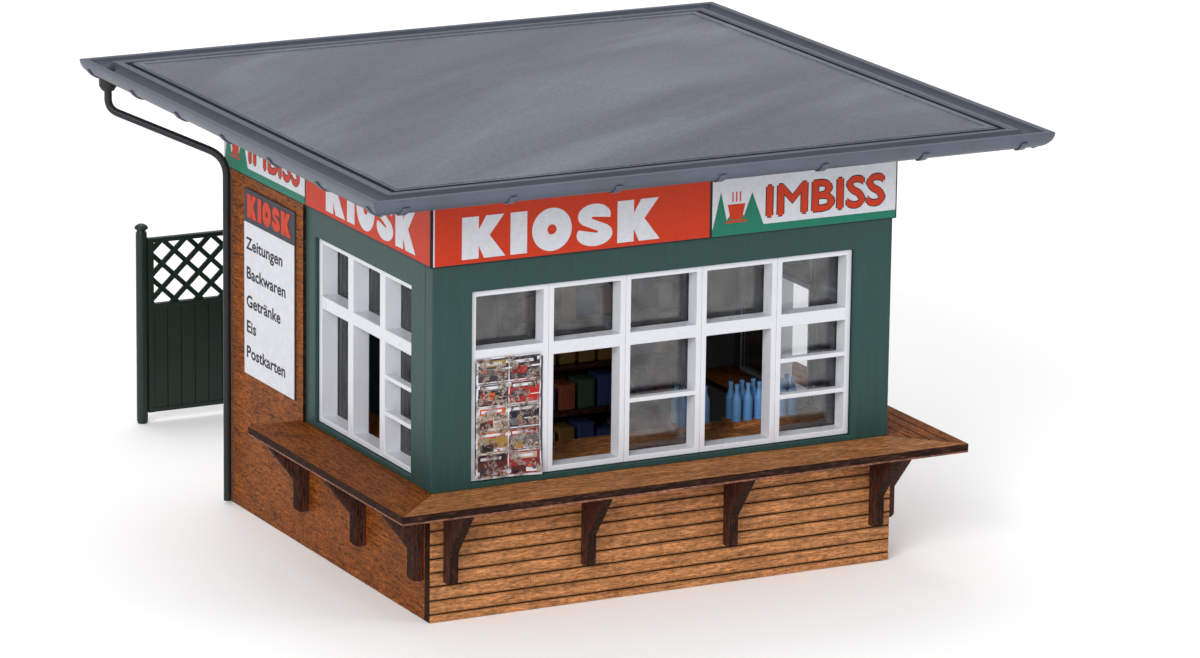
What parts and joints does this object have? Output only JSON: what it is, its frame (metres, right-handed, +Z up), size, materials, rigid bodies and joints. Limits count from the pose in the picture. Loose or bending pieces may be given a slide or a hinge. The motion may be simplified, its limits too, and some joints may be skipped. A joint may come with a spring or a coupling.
{
  "type": "scale model street kiosk",
  "caption": "Timber-clad kiosk hut with glazed serving sides, a bracketed counter round three sides, a flat roof with gutter and downpipe, and a lattice privacy screen.",
  "frame": {"origin": "centre of the hut's footprint, on the ground", "axes": "+X right along the front, +Y towards the back, +Z up"},
  "size_m": [0.072, 0.0888, 0.0457],
  "materials": {
    "floor": "grey card floor",
    "timber_cladding": "stained plywood with engraved board joints, matt",
    "green_paint": "dark blue-green painted panel, satin",
    "window_plastic": "white moulded plastic, soft gloss",
    "glazing": "clear glazing film",
    "counter_timber": "stained plywood with dark cut edges, matt",
    "bracket_timber": "laser-cut wood, dark cut edges",
    "sign_face": "printed red and white sign board",
    "printed_paper": "printed paper",
    "roof_plastic": "slate grey moulded plastic, satin",
    "gutter_plastic": "dark slate moulded plastic, satin",
    "goods": "small coloured packets and boxes",
    "shelf_timber": "dark wood, matt",
    "screen_plastic": "dark green moulded plastic, satin"
  },
  "bodies": {
    "root": {"floor_plate": "floor", "front_plank_wall": "timber_cladding", "left_lower_wall": "timber_cladding", "right_lower_wall": "timber_cladding", "left_rear_wall": "timber_cladding", "right_rear_wall": "timber_cladding", "back_wall_left": "timber_cladding", "back_wall_right": "timber_cladding", "back_wall_over_door": "timber_cladding", "back_door_frame": "green_paint", "back_door": "green_paint", "front_green_panel": "green_paint", "left_green_panel": "green_paint", "right_green_panel": "green_paint", "front_window_1": "window_plastic", "front_window_2": "window_plastic", "front_window_3": "window_plastic", "front_window_4": "window_plastic", "front_window_5": "window_plastic", "left_window_1": "window_plastic", "left_window_2": "window_plastic", "left_window_3": "window_plastic", "right_window_1": "window_plastic", "right_window_2": "window_plastic", "right_window_3": "window_plastic", "window_glass": "glazing", "front_counter": "counter_timber", "left_counter": "counter_timber", "right_counter": "counter_timber", "counter_brackets": "bracket_timber", "front_sign": "sign_face", "left_sign": "sign_face", "right_sign": "sign_face", "wall_poster": "printed_paper", "magazine_sheet": "printed_paper", "roof_deck": "roof_plastic", "front_gutter": "gutter_plastic", "back_gutter": "gutter_plastic", "left_gutter": "gutter_plastic", "right_gutter": "gutter_plastic", "gutter_hooks": "gutter_plastic", "pipe_outlet": "gutter_plastic", "downpipe": "gutter_plastic", "inner_front_counter": "counter_timber", "inner_left_counter": "counter_timber", "inner_right_counter": "counter_timber", "counter_bottles": "goods", "shelf_unit": "shelf_timber", "shelf_goods": "goods", "screen_posts": "screen_plastic", "screen_panel_left": "screen_plastic", "screen_panel_right": "screen_plastic", "screen_return_panel": "screen_plastic"}
  },
  "joints": []
}
